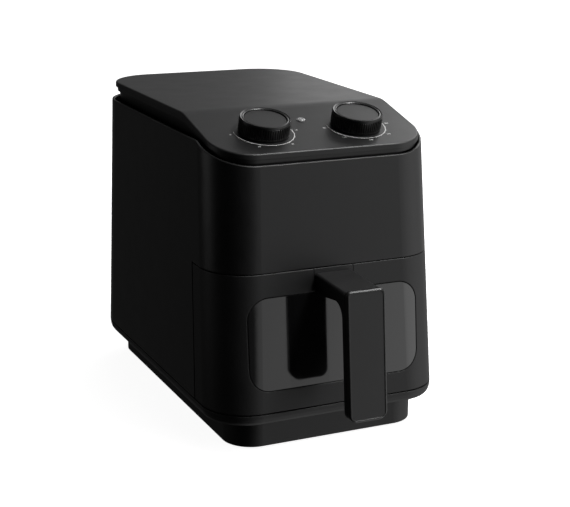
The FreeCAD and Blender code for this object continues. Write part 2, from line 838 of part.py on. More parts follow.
node(group("liner_spacer_group", [
    box("liner_spacer_%d" % index, (x - 8, y - 8, DECK_TOP), (x + 8, y + 8, D.liner_low - D.sheet))
    for index, (x, y) in enumerate([(x, y) for x in (-95, 95) for y in (-45, 118)])
]), "liner_spacers")

for side, sign in (("left", -1), ("right", 1)):
    inner = sign * (D.liner_half_width - 4.4)
    outer = sign * D.liner_half_width
    rail_low, rail_high = (outer, inner) if sign < 0 else (inner, outer)
    rail_z = D.basket_top - 1.5 - 0.8
    rail = box(
        "rail_form_" + side,
        (rail_low, D.liner_front + 2, rail_z - 5), (rail_high, D.liner_rear - 4, rail_z),
    )
    node(rail, "drawer_rail_" + side)

HOOD_LOW = D.liner_top
HOOD_HALF = 106
HOOD_FRONT = -70
HOOD_REAR = 140
TERMINALS = (-9, 9)
ELEMENT_RING = 76
ELEMENT_Z = D.liner_top + 9


def make_hood():
    """The steel hood over the basket: a deep pan with a flange that lies on the liner."""
    pan = rounded_block(
        "hood_pan", (-HOOD_HALF, HOOD_FRONT), (HOOD_HALF, HOOD_REAR), 24,
        offset=HOOD_LOW, length=D.hood_top - HOOD_LOW,
    )
    flange = box(
        "hood_flange",
        (-D.liner_half_width - D.sheet, HOOD_FRONT, HOOD_LOW),
        (D.liner_half_width + D.sheet, D.liner_rear + D.sheet, HOOD_LOW + D.sheet),
    )
    hollow = rounded_block(
        "hood_hollow", (D.sheet - HOOD_HALF, D.sheet + HOOD_FRONT),
        (HOOD_HALF - D.sheet, HOOD_REAR - D.sheet), 23,
        offset=HOOD_LOW - 5, length=D.hood_top - HOOD_LOW + 5 - D.sheet,
    )
    shaft_hole = cylinder("hood_shaft_hole", 6, 20, (0, D.fan_y, D.hood_top - 10))
    holes = [
        cylinder("hood_terminal_hole_%d" % index, 5, 20, (x, D.fan_y + ELEMENT_RING, D.hood_top - 10))
        for index, x in enumerate(TERMINALS)
    ]
    return cut("hood_cut", fuse("hood_solid", [pan, flange]), hollow, shaft_hole, *holes)


node(make_hood(), "heating_hood")

node(fuse("element_solid", [
    torus("element_ring", ELEMENT_RING, D.element_tube, (0, D.fan_y, ELEMENT_Z)),
    torus("element_inner_ring", ELEMENT_RING - 20, D.element_tube, (0, D.fan_y, ELEMENT_Z)),
    cylinder("element_bridge", D.element_tube, 20, (0, D.fan_y - ELEMENT_RING, ELEMENT_Z), (1, 0, 0), -90),
] + [
    cylinder("element_terminal_%d" % index, D.element_tube, D.hood_top + 14 - ELEMENT_Z,
             (x, D.fan_y + ELEMENT_RING - 0.6, ELEMENT_Z))
    for index, x in enumerate(TERMINALS)
]), "heating_element")

node(group("element_clip_group", [
    box("element_clip_%d" % index,
        (x - 3, D.fan_y - 4, ELEMENT_Z + D.element_tube + 0.1),
        (x + 3, D.fan_y + 4, D.hood_top - D.sheet))
    for index, x in enumerate((-ELEMENT_RING, ELEMENT_RING))
]), "element_clips")


def make_guard():
    """A flat wire grille under the element."""
    low = HOOD_LOW + 0.9
    bars = [
        box("guard_bar_x_%d" % index, (-97, y - 1, low), (97, y + 1, low + 2))
        for index, y in enumerate(range(-54, 129, 26))
    ]
    cross = [
        box("guard_bar_y_%d" % index, (x - 1, -55, low), (x + 1, 129, low + 2))
        for index, x in enumerate(range(-96, 97, 24))
    ]
    reach = HOOD_HALF - D.sheet
    holders = [
        box("guard_holder_%d" % index, (-reach, y - 1.5, low), (reach, y + 1.5, low + 2))
        for index, y in enumerate((11, 63))
    ]
    return fuse("guard_solid", bars + cross + holders)


node(make_guard(), "element_guard")

SHIELD_LOW = D.hood_top + 2
SHIELD_TOP = SHIELD_LOW + D.sheet


def hood_plate(name, low, high):
    """A flat layer on the hood, open for the fan shaft and the element's terminals."""
    plate = rounded_block(
        name + "_plate", (4 - HOOD_HALF, 4 + HOOD_FRONT), (HOOD_HALF - 4, HOOD_REAR - 4), 20,
        offset=low, length=high - low,
    )
    shaft_hole = cylinder(name + "_shaft_hole", 8, 20, (0, D.fan_y, low - 5))
    slot = box(name + "_terminal_slot", (-16, D.fan_y + ELEMENT_RING - 8, low - 5),
               (16, D.fan_y + ELEMENT_RING + 8, high + 5))
    return cut(name + "_cut", plate, shaft_hole, slot)


node(hood_plate("insulation", D.hood_top, SHIELD_LOW), "insulation_mat")
node(hood_plate("shield", SHIELD_LOW, SHIELD_TOP), "heat_shield")
node(cylinder("cutout_form", 8, 9, (80, 90, SHIELD_TOP)), "thermal_cutout")
node(cylinder(
    "bulb_form", 2.2, 60, (HOOD_HALF - 16, -45, D.hood_top - D.sheet - 2.6), (1, 0, 0), -90,
), "thermostat_bulb")


# ---------------------------------------------------------------- motor and fans

MOTOR_PLATE = D.motor_low - 1.5
BRACKET_FRONT = D.fan_y - 22
BRACKET_REAR = D.fan_y + 22
COIL_FRONT = D.fan_y + 22
COIL_REAR = D.fan_y + 36


def make_motor_bracket():
    plate = box("motor_plate", (-58, BRACKET_FRONT, MOTOR_PLATE), (58, BRACKET_REAR, D.motor_low))
    legs = [
        box("motor_leg_%d" % index, (x, BRACKET_FRONT, SHIELD_TOP), (x + 1.5, BRACKET_REAR, D.motor_low))
        for index, x in enumerate((-58, 56.5))
    ]
    feet = [
        box("motor_foot_%d" % index, (x, BRACKET_FRONT, SHIELD_TOP), (x + 14, BRACKET_REAR, SHIELD_TOP + 1.5))
        for index, x in enumerate((-72, 58))
    ]
    hole = cylinder("motor_plate_hole", 8, 20, (0, D.fan_y, MOTOR_PLATE - 5))
    return cut("motor_bracket_cut", fuse("motor_bracket_solid", [plate] + legs + feet), hole)


def bearing(name, low, height):
    ring = cylinder(name + "_ring", 7.9, height, (0, D.fan_y, low))
    bore = cylinder(name + "_bore", D.motor_shaft_radius + D.shaft_fit, 20, (0, D.fan_y, low - 5))
    return cut(name + "_cut", ring, bore)


node(make_motor_bracket(), "motor_bracket")
node(bearing("lower_bearing", MOTOR_PLATE - 3, 4.4), "motor_bearing_lower")
STACK_TOP = D.motor_low + D.motor_stack
ROTOR_RADIUS = 15
node(cut(
    "stator_cut",
    box("stator_block", (-30, BRACKET_FRONT, D.motor_low), (30, COIL_REAR + 10, STACK_TOP)),
    cylinder("stator_bore", ROTOR_RADIUS + 0.5, 60, (0, D.fan_y, D.motor_low - 10)),
    box("stator_window_left", (-21, COIL_FRONT - 1, D.motor_low - 1), (-9, COIL_REAR + 1, STACK_TOP + 1)),
    box("stator_window_right", (9, COIL_FRONT - 1, D.motor_low - 1), (21, COIL_REAR + 1, STACK_TOP + 1)),
), "motor_stator")
node(cut(
    "coil_cut",
    box("coil_block", (-20, COIL_FRONT, D.motor_low - 4), (20, COIL_REAR, STACK_TOP + 8)),
    box("coil_core", (-9.1, COIL_FRONT - 2, D.motor_low - 0.1), (9.1, COIL_REAR + 4, STACK_TOP + 0.1)),
), "motor_coil")


def make_upper_bearing():
    bridge = box("bearing_bridge", (-28, D.fan_y - 7, STACK_TOP + 3), (28, D.fan_y + 7, STACK_TOP + 5))
    legs = [
        box("bearing_leg_%d" % index, (x, D.fan_y - 7, STACK_TOP), (x + 3, D.fan_y + 7, STACK_TOP + 3))
        for index, x in enumerate((-28, 25))
    ]
    boss = cylinder("bearing_boss", 7, 4, (0, D.fan_y, STACK_TOP + 2))
    bore = cylinder("bearing_upper_bore", D.motor_shaft_radius + D.shaft_fit, 20,
                    (0, D.fan_y, STACK_TOP - 5))
    return cut("bearing_upper_cut", fuse("bearing_upper_solid", [bridge, boss] + legs), bore)


node(make_upper_bearing(), "motor_bearing_upper")

FAN_LOW = 204


def bladed_wheel(name, radius, hub, blades, low, height):
    """A disc with a hub and straight blades standing on it."""
    disc = cylinder(name + "_disc", radius, 1.0, (0, D.fan_y, low))
    middle = cylinder(name + "_hub", hub, height, (0, D.fan_y, low))
    pieces = [disc, middle]
    for index in range(blades):
        blade = box("%s_blade_%d" % (name, index), (0, 0, 0), (radius - hub - 1, 1.2, height))
        turn = 2 * math.pi * index / blades
        start = (hub - 1.0) * Vector(math.cos(turn), math.sin(turn), 0)
        put(blade, (start.x, D.fan_y + start.y, low), (0, 0, 1), math.degrees(turn) + 14)
        pieces.append(blade)
    bore = cylinder(name + "_bore", D.motor_shaft_radius, 40, (0, D.fan_y, low - 10))
    return cut(name + "_cut", fuse(name + "_solid", pieces), bore)


node(cylinder("motor_shaft_form", D.motor_shaft_radius, 84, (0, D.fan_y, FAN_LOW - 6)), "motor_shaft")
node(cut(
    "rotor_cut",
    cylinder("rotor_drum", ROTOR_RADIUS, D.motor_stack, (0, D.fan_y, D.motor_low)),
    cylinder("rotor_bore", D.motor_shaft_radius, 40, (0, D.fan_y, D.motor_low - 10)),
), "motor_rotor")
node(bladed_wheel("convection", 60.0, 9.0, 9, FAN_LOW, 11), "convection_fan")
node(bladed_wheel("cooling", 40.0, 8.0, 8, STACK_TOP + 10, 8), "cooling_fan")
node(cut(
    "nut_cut",
    cylinder("nut_body", 5, 4, (0, D.fan_y, FAN_LOW - 4.1)),
    cylinder("nut_bore", D.motor_shaft_radius, 20, (0, D.fan_y, FAN_LOW - 10)),
), "fan_nut")


# ---------------------------------------------------------------- rear air outlet and inlet

def make_grille():
    """A louvred plate in the rear opening."""
    plate = box("grille_plate", (-49.6, D.rear_top - 1.6, 224.4), (49.6, D.rear_top + 0.4, 273.6))
    slots = [
        box("grille_slot_%d" % index, (x - 19, D.rear_top - 5, z), (x + 19, D.rear_top + 5, z + 3))
        for index, (x, z) in enumerate([(x, z) for x in (-23, 23) for z in range(230, 269, 7)])
    ]
    return cut("grille_cut", plate, *slots)


node(make_grille(), "rear_grille")
node(cut(
    "duct_cut",
    box("duct_outside", (-49, 150, 222), (49, D.rear_top - 3.6, 276)),
    box("duct_inside", (-47.4, 140, 223.6), (47.4, D.rear_top + 3, 274.4)),
), "exhaust_duct")


def make_gland():
    """A round bush in the rear wall, with the bore that the supply lead would come through."""
    centre = (-72, D.rear_floor - 7, 74)
    drum = cylinder("gland_drum", 9.0, 7.6, centre, (1, 0, 0), -90)
    flange = cylinder("gland_flange", 11.5, 1.6, (-72, D.rear_floor - 0.9 + 0.1, 74), (1, 0, 0), -90)
    bore = cylinder("gland_bore", 3.8, 40, (-72, D.rear_floor - 20, 74), (1, 0, 0), -90)
    return cut("gland_cut", fuse("gland_solid", [drum, flange]), bore)


node(make_gland(), "cord_gland")

# ---------------------------------------------------------------- drawer safety switch

SHELF_TOP = D.drawer_top + HALF_SEAM + 2.5
node(cut(
    "switch_cut",
    box("switch_case", (-12, D.switch_y - 6, SHELF_TOP), (12, D.switch_y + 6, SHELF_TOP + 16)),
    cylinder("switch_bore", 2.4, 10, (0, D.switch_y, SHELF_TOP - 1)),
), "drawer_switch")
node(cylinder("plunger_form", 2.0, SHELF_TOP + 5 - DRAWER_CEILING - 0.5,
              (0, D.switch_y, DRAWER_CEILING + 0.5)), "switch_plunger")


# ---------------------------------------------------------------- drawer front and window

def window_prism(name, margin):
    """The window opening, made smaller by margin, right through the front."""
    return rounded_block(
        name,
        (margin - D.window_half_width, D.window_low + margin),
        (D.window_half_width - margin, D.window_top - margin),
        D.window_corner - margin,
        role="XZ_Plane", length=2 * WIDE,
    )


def front_half(name):
    """Everything in front of the drawer's wings."""
    return box(name, (-WIDE, FRONT_LIMIT, 0), (WIDE, -100, WIDE))


BLOCK_HALF = D.grip_half_width + 0.8
drawer_outer = common(
    "drawer_outer", body_form,
    drawer_zone("drawer_outer_zone", -HALF_SEAM, DRAWER_FLOOR - 1, DRAWER_CEILING),
)
drawer_inner = envelope("drawer_inner", D.wall, DRAWER_FLOOR + D.wall, DRAWER_CEILING - D.wall)
skin_form = envelope("skin_form", 0.5, DRAWER_FLOOR + 4, DRAWER_CEILING - 4)
deep_form = envelope("deep_form", 7.0, DRAWER_FLOOR - 4, DRAWER_CEILING + 4)
window_opening = window_prism("window_opening", ZERO)
window_inner = window_prism("window_inner", D.gasket)
pane_front = front_half("pane_front")


def make_drawer_front():
    notch = box("block_notch", (-BLOCK_HALF - 0.5, FRONT_LIMIT, D.base_block_low - 0.5),
                (BLOCK_HALF + 0.5, -132, DRAWER_CEILING + 5))
    window_front = common("window_front", window_opening, front_half("window_reach"))
    shell = cut("drawer_shell", drawer_outer, drawer_inner, window_front, notch)
    doc.recompute()
    seams = (DRAWER_FLOOR.number, DRAWER_CEILING.number)
    return fillet("drawer_rounded", shell, 0.7, lambda edge: (
        edge.Length > 40 and any(
            near(edge.BoundBox.ZMin, level, 0.05) and near(edge.BoundBox.ZMax, level, 0.05)
            for level in seams
        )
    ))


node(make_drawer_front(), "drawer_front")
node(cut(
    "pane_cut",
    common("pane_solid", body_form, common("pane_window", window_inner, pane_front)),
    drawer_inner,
), "window_pane")
gasket_ring = common(
    "gasket_ring",
    cut("gasket_outline", window_opening, window_inner),
    pane_front,
)
node(cut("gasket_cut", common("gasket_solid", skin_form, gasket_ring), drawer_inner), "window_gasket")


def make_drawer_frame():
    """The plate inside the wings that closes the drawer front and holds the basket."""
    low = DRAWER_FLOOR + D.wall + FIT
    high = DRAWER_CEILING - D.wall - FIT
    back = -HALF_SEAM - 1.5
    profile = side_prism("frame_profile", [
        (wing_at(low) + back - 2.4, low),
        (wing_at(low) + back, low),
        (wing_at(high) + back, high),
        (wing_at(high) + back - 2.4, high),
    ])
    mouth = box("frame_mouth", (-BASKET_REACH - 0.5, -160, D.basket_low - 1),
                (BASKET_REACH + 0.5, -40, D.basket_top + 0.5))
    return cut("frame_cut", common("frame_solid", bezel_form, profile), mouth)


node(make_drawer_frame(), "drawer_frame")


# ---------------------------------------------------------------- basket and crisper plate

def make_basket():
    """A deep drawn pan with a turned-out rim and a window in its front wall."""
    half = D.basket_half_width
    pan = rounded_block(
        "basket_pan", (-half, D.basket_front), (half, D.basket_rear), D.basket_corner,
        offset=D.basket_low, length=D.basket_top - D.basket_low,
    )
    rim = D.basket_rim
    flange = rounded_block(
        "basket_flange", (-half - rim, D.basket_front - rim), (half + rim, D.basket_rear + rim),
        D.basket_corner + rim, offset=D.basket_top - 1.5, length=1.5,
    )
    sheet = D.basket_wall
    inside = rounded_block(
        "basket_inside", (sheet - half, D.basket_front + sheet), (half - sheet, D.basket_rear - sheet),
        D.basket_corner - sheet, offset=D.basket_low + sheet, length=D.basket_top,
    )
    window = rounded_block(
        "basket_window_hole", (-66, 76), (66, 150), 14, role="XZ_Plane", length=2 * WIDE,
    )
    front = box("basket_window_reach", (-WIDE, -WIDE, 0), (WIDE, D.basket_front + 20, WIDE))
    solid = fillet("basket_soft", cut("basket_hollow", pan, inside), 1.0, lambda edge: (
        near(edge.BoundBox.ZMax, D.basket_low.number, 0.05)
    ))
    fused = fuse("basket_solid", [solid, cut("basket_lip", flange, inside)])
    return cut("basket_cut", fused, common("basket_window_cut", window, front))


node(make_basket(), "basket")


def basket_pane(name, half, low, high, radius, front, depth):
    pane = body(name)
    drawing = sketch(pane, name + "_outline", "XZ_Plane", -front)
    rounded_outline(drawing, (-half, low), (half, high), radius, radius)
    pad(pane, drawing, depth, reverse=False)
    return pane


SEAL_DEPTH = 2.0
GLASS_DEPTH = 3.0
seal_back = D.basket_front - 0.02
seal_front = seal_back - SEAL_DEPTH
glass_front = seal_front - GLASS_DEPTH
node(basket_pane("inner_glass", 70, 72, 154, 16, seal_front, GLASS_DEPTH), "basket_window")
node(cut(
    "seal_cut",
    basket_pane("seal_plate", 70, 72, 154, 16, seal_back, SEAL_DEPTH),
    basket_pane("seal_hole", 66, 76, 150, 14, seal_back + 1, SEAL_DEPTH + 2),
), "basket_window_seal")
PLATE_HALF = D.basket_half_width - D.basket_wall - 3.0
PLATE_FRONT = D.basket_front + D.basket_wall + 3.0
PLATE_REAR = D.basket_rear - D.basket_wall - 3.0


def make_crisper():
    """A flat plate with round holes and a pull ring in its middle."""
    plate = rounded_block(
        "crisper_plate_form", (-PLATE_HALF, PLATE_FRONT), (PLATE_HALF, PLATE_REAR),
        D.basket_corner - 4.2, offset=D.plate_height, length=D.plate_sheet,
    )
    pitch = 24
    places = [(x, y) for x in range(-72, 73, pitch) for y in range(-109, 132, pitch)]
    holes = [
        cylinder("crisper_hole_%d" % index, 5, 10, (x, y, D.plate_height - 4))
        for index, (x, y) in enumerate(places)
    ]
    posts = [
        cylinder("crisper_post_%d" % index, 1.5, 16, (x, 0, D.plate_height + D.plate_sheet - 0.2))
        for index, x in enumerate((-12, 12))
    ]
    bar = cylinder("crisper_bar", 1.8, 27.6, (-13.8, 0, D.plate_height + D.plate_sheet + 16), (0, 1, 0), 90)
    return fuse("crisper_solid", [cut("crisper_cut", plate, *holes), bar] + posts)


node(make_crisper(), "crisper_plate")
BUMPER_LOW = D.basket_low + D.basket_wall + FIT
node(group("bumper_group", [
    cylinder("bumper_%d" % index, 5, D.plate_height - BUMPER_LOW, (x, y, BUMPER_LOW))
    for index, (x, y) in enumerate([(x, y) for x in (-84, 84) for y in (-109, 107)])
]), "plate_bumpers")


# ---------------------------------------------------------------- handle

def make_base_block():
    """The block set flush into the notch at the top of the drawer front."""
    form = box("block_form", (-BLOCK_HALF, FRONT_LIMIT, D.base_block_low),
               (BLOCK_HALF, -120, DRAWER_CEILING))
    block = cut("block_cut", common("block_solid", body_form, form), deep_form)
    holes = [
        handle_screw_place(cylinder("block_hole_%d" % index, D.screw_radius + 0.05, 60), x, 30)
        for index, x in enumerate(SCREW_X)
    ]
    return cut("block_drilled", block, *holes)


SCREW_X = (-10, 10)
SCREW_Z = 168
LEAN_SINE = Size(math.sin(math.radians(LEAN.number)), "sin(%s)" % LEAN.formula)
LEAN_COSINE = Size(math.cos(math.radians(LEAN.number)), "cos(%s)" % LEAN.formula)


def handle_screw_place(piece, x, depth):
    """Lays a screw or its hole along the front plane's normal, starting depth behind the plane."""
    depth = size_of(depth)
    y = D.front_floor + SCREW_Z * LEAN_SINE + depth * LEAN_COSINE
    z = SCREW_Z * LEAN_COSINE - depth * LEAN_SINE
    return put(piece, (x, y, z), (1, 0, 0), 90 - LEAN)


node(make_base_block(), "handle_base")


def make_handle_back():
    """The arm and the rear shell of the hanging grip, as one bent moulding."""
    reach = -(D.grip_reach - D.grip_panel)
    rear = reach + D.grip_depth - D.grip_panel
    under = D.arm_root - D.arm_height - 1.5
    profile = side_prism("handle_profile", [
        (-0.1, under),
        (-0.1, D.arm_root),
        (reach, D.arm_front),
        (reach, D.grip_low),
        (rear, D.grip_low),
        (rear, under + 1.5),
    ], D.grip_half_width)
    arched = fillet("handle_arched", profile, 15.0, lambda edge: (
        near(edge.CenterOfMass.y, rear.number) and near(edge.CenterOfMass.z, under.number + 1.5)
        and edge.BoundBox.XLength > 10
    ))
    front_view = rounded_block(
        "handle_front_view", (-D.grip_half_width, D.grip_low), (D.grip_half_width, D.arm_root + 20), 9,
        role="XZ_Plane", length=2 * WIDE,
    )
    doc.recompute()
    solid = common("handle_solid", arched, front_view)
    doc.recompute()

    def behind(edge):
        middle = edge.valueAt((edge.FirstParameter + edge.LastParameter) / 2)
        on_side = abs(middle.x) > D.grip_half_width.number - 9.5
        return on_side and middle.y > reach.number + 0.5 and middle.y < -1.5

    soft = fillet("handle_soft", solid, 3.2, behind)
    holes = [
        cylinder("handle_hole_%d" % index, D.screw_radius + 0.05, 30, (x, 5, SCREW_Z), (1, 0, 0), 90)
        for index, x in enumerate(SCREW_X)
    ]
    return lean(cut("handle_cut", soft, *holes))


node(make_handle_back(), "handle_back_shell")


def make_handle_panel():
    """The front panel of the grip: a bevelled border round a slightly sunken face."""
    panel = body("panel_form")
    face = sketch(panel, "panel_outline", "XZ_Plane", D.grip_reach - D.grip_panel + 0.5)
    rounded_outline(
        face, (-D.grip_half_width, D.panel_low), (D.grip_half_width, D.panel_top), 9.0, 4.5
    )
    pad(panel, face, D.grip_panel - 0.5, reverse=False)
    doc.recompute()
    front = -D.grip_reach.number
    bevelled = doc.addObject("Part::Chamfer", "panel_bevelled")
    bevelled.Base = panel
    edges = enumerate(panel.Shape.Edges, start=1)
    bevelled.Edges = [
        (number, 1.3, 1.3) for number, edge in edges
        if near(edge.BoundBox.YMin, front, 0.05) and near(edge.BoundBox.YMax, front, 0.05)
    ]
    inset = 2.2
    sunk = rounded_block(
        "panel_sunk", (inset - D.grip_half_width, D.panel_low + inset),
        (D.grip_half_width - inset, D.panel_top - inset), 4.0,
        role="XZ_Plane", length=1.0,
    )
    put(sunk, (0, -D.grip_reach, 0))
    return lean(cut("panel_cut", bevelled, sunk))


node(make_handle_panel(), "handle_front_panel")
node(group("handle_screw_group", [
    handle_screw_place(fuse("handle_screw_%d" % index, [
        cylinder("handle_screw_head_%d" % index, 3, 1.1),
        cylinder("handle_screw_shank_%d" % index, D.screw_radius, 24),
    ]), x, 8.15)
    for index, x in enumerate(SCREW_X)
]), "handle_screws")


# ---------------------------------------------------------------- checks and files

def check_document():
    """Stops before anything is written if an object failed or a piece is not sound."""
    doc.recompute()
    for item in doc.Objects:
        if "Invalid" in item.State or "Error" in item.State:
            raise RuntimeError("%s failed: %s" % (item.Name, item.State))
    for piece in NODES:
        if piece.Shape.isNull() or not piece.Shape.isValid() or not piece.Shape.Solids:
            raise RuntimeError("%s has no sound solid" % piece.Label)


check_document()
os.makedirs("parts", exist_ok=True)
for piece in NODES:
    piece.Shape.exportStep(os.path.join("parts", piece.Label + ".step"))
    print("%-26s %2d solid(s) %12.1f mm3" % (piece.Label, len(piece.Shape.Solids), piece.Shape.Volume))
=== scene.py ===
"""Looks of the windowed basket air fryer: black moulded plastics, smoked window, printed dials."""
import json
import math
import bpy
import bmesh
from mathutils import Matrix, Vector


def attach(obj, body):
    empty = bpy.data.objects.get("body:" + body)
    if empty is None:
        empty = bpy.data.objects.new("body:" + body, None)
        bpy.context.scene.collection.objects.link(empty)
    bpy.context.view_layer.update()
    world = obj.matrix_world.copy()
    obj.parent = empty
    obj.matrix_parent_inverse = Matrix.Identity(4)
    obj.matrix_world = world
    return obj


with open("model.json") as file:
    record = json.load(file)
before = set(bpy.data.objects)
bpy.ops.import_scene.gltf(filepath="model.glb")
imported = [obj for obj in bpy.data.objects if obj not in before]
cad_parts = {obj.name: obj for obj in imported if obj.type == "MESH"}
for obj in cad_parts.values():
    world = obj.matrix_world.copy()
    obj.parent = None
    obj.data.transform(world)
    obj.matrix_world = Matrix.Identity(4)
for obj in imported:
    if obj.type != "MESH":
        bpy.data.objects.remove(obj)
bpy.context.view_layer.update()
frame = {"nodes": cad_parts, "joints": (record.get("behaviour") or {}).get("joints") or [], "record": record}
MM = 0.001


def add_object(name, data):
    made = bpy.data.objects.new(name, data)
    bpy.context.scene.collection.objects.link(made)
    return made


def join_rows(shape, previous, row):
    """Quads between two closed rows of vertices."""
    for index in range(len(row)):
        after = (index + 1) % len(row)
        shape.faces.new((previous[index], previous[after], row[after], row[index]))


# ---------------------------------------------------------------- camera

AZIMUTH = math.radians(-25.13)
ELEVATION = math.radians(15.83)
ROLL = math.radians(0.74)
DISTANCE = 1.72761
TARGET = Vector((0.11134, 0.20482, 0.08898))
FOCAL_LENGTH = 87.56
SENSOR_WIDTH = 36.0
FARTHEST_SEEN = 50


def make_camera():
    """A camera that looks at the target from the front left, a little from above."""
    back = Vector((
        math.sin(AZIMUTH) * math.cos(ELEVATION),
        -math.cos(AZIMUTH) * math.cos(ELEVATION),
        math.sin(ELEVATION),
    ))
    level = Vector((0, 0, 1)).cross(back).normalized()
    upright = back.cross(level)
    right = math.cos(ROLL) * level + math.sin(ROLL) * upright
    up = math.cos(ROLL) * upright - math.sin(ROLL) * level
    data = bpy.data.cameras.new("view")
    data.lens = FOCAL_LENGTH
    data.sensor_width = SENSOR_WIDTH
    data.sensor_fit = "HORIZONTAL"
    data.clip_end = FARTHEST_SEEN
    camera = add_object("view", data)
    turn = Matrix((right, up, back)).transposed().to_4x4()
    camera.matrix_world = Matrix.Translation(TARGET + back * DISTANCE) @ turn
    bpy.context.scene.camera = camera


make_camera()

# ---------------------------------------------------------------- light and floor

STAGE_RADIUS = 14.0
STAGE_SIDES = 64
SWEEP_RADIUS = STAGE_RADIUS / 4
SWEEP_STEPS = 8
SAME_POINT = 1e-6
PAPER_COLOUR = (0.85, 0.85, 0.85)
PAPER_GLOW = 0.94
SURROUND_LIGHT = 1.0
# Brightness by direction, as a share of a turn: left 0, front 0.25, right 0.5, rear 0.75.
SURROUND = (
    (0.00, 0.02), (0.10, 0.00), (0.19, 0.01), (0.25, 0.05), (0.30, 0.40), (0.36, 1.00),
    (0.44, 0.95), (0.52, 0.46), (0.61, 0.50), (0.68, 0.24), (0.74, 0.10), (0.82, 0.02),
    (1.00, 0.02),
)


def soft_light(name, place, aim, side, power):
    """A square area light that faces the point it is aimed at."""
    data = bpy.data.lights.new(name, "AREA")
    data.shape = "SQUARE"
    data.size = side
    data.energy = power
    lamp = add_object(name, data)
    lamp.location = place
    lamp.rotation_euler = (Vector(aim) - Vector(place)).to_track_quat("-Z", "Y").to_euler()


def make_surround():
    """A studio all round: dark on the left, bright from the front right to the rear right."""
    world = bpy.data.worlds.new("surround")
    bpy.context.scene.world = world
    world.use_nodes = True
    tree = world.node_tree
    direction = tree.nodes.new("ShaderNodeTexCoord").outputs["Generated"]
    around = tree.nodes.new("ShaderNodeTexGradient")
    around.gradient_type = "RADIAL"
    tree.links.new(direction, around.inputs["Vector"])
    ramp = tree.nodes.new("ShaderNodeValToRGB")
    ramp.color_ramp.interpolation = "EASE"
    tree.links.new(around.outputs["Fac"], ramp.inputs["Fac"])
    stops = ramp.color_ramp.elements
    while len(stops) < len(SURROUND):
        stops.new(0.5)
    for stop, (turn, brightness) in zip(stops, SURROUND):
        stop.position = turn
        stop.color = (brightness, brightness, brightness, 1)
    background = tree.nodes["Background"]
    tree.links.new(ramp.outputs["Color"], background.inputs["Color"])
    background.inputs["Strength"].default_value = SURROUND_LIGHT


def stage_profile():
    """Radius and height from the middle of the floor, up the quarter-round sweep, to the wall's top."""
    rings = [(0.0, 0.0), (STAGE_RADIUS - SWEEP_RADIUS, 0.0)]
    for step in range(1, SWEEP_STEPS + 1):
        turn = math.pi / 2 * step / SWEEP_STEPS
        radius = STAGE_RADIUS - SWEEP_RADIUS + SWEEP_RADIUS * math.sin(turn)
        rings.append((radius, SWEEP_RADIUS - SWEEP_RADIUS * math.cos(turn)))
    rings.append((STAGE_RADIUS, STAGE_RADIUS))
    return rings


def make_paper():
    """Pale paper that glows evenly, so that it stays near white under any lamp."""
    paper = bpy.data.materials.new("floor_paper")
    paper.use_nodes = True
    inputs = paper.node_tree.nodes["Principled BSDF"].inputs
    inputs["Base Color"].default_value = (*PAPER_COLOUR, 1)
    inputs["Roughness"].default_value = 0.9
    inputs["Specular IOR Level"].default_value = 0.1
    inputs["Emission Color"].default_value = (1, 1, 1, 1)
    inputs["Emission Strength"].default_value = PAPER_GLOW
    return paper


def make_stage():
    """A plain pale floor that turns up into a pale wall all round, far from the object."""
    sweep = bmesh.new()
    previous = None
    for radius, height in stage_profile():
        row = []
        for index in range(STAGE_SIDES):
            angle = 2 * math.pi * index / STAGE_SIDES
            row.append(sweep.verts.new((radius * math.cos(angle), radius * math.sin(angle), height)))
        if previous:
            join_rows(sweep, previous, row)
        previous = row
    bmesh.ops.remove_doubles(sweep, verts=sweep.verts, dist=SAME_POINT)
    mesh = bpy.data.meshes.new("floor")
    sweep.to_mesh(mesh)
    sweep.free()
    mesh.materials.append(make_paper())
    floor = add_object("floor", mesh)
    floor.visible_glossy = False
    floor.visible_diffuse = False


make_surround()
make_stage()
soft_light("rear_right", place=(0.95, 1.2, 0.55), aim=(0.1, 0, 0.3), side=0.7, power=1.5)
soft_light("overhead", place=(0.9, -0.8, 2.2), aim=(0.1, -0.1, 0.2), side=0.5, power=42)
soft_light("high_rear_right", place=(1.25, 0.8, 1.25), aim=(0.12, -0.08, 0.3), side=0.8, power=5.2)
soft_light("left_fill", place=(-2.2, 0.9, 0.4), aim=(0, 0, 0.1), side=1.2, power=2.2)

bpy.context.scene.view_settings.view_transform = "Standard"

# ---------------------------------------------------------------- materials


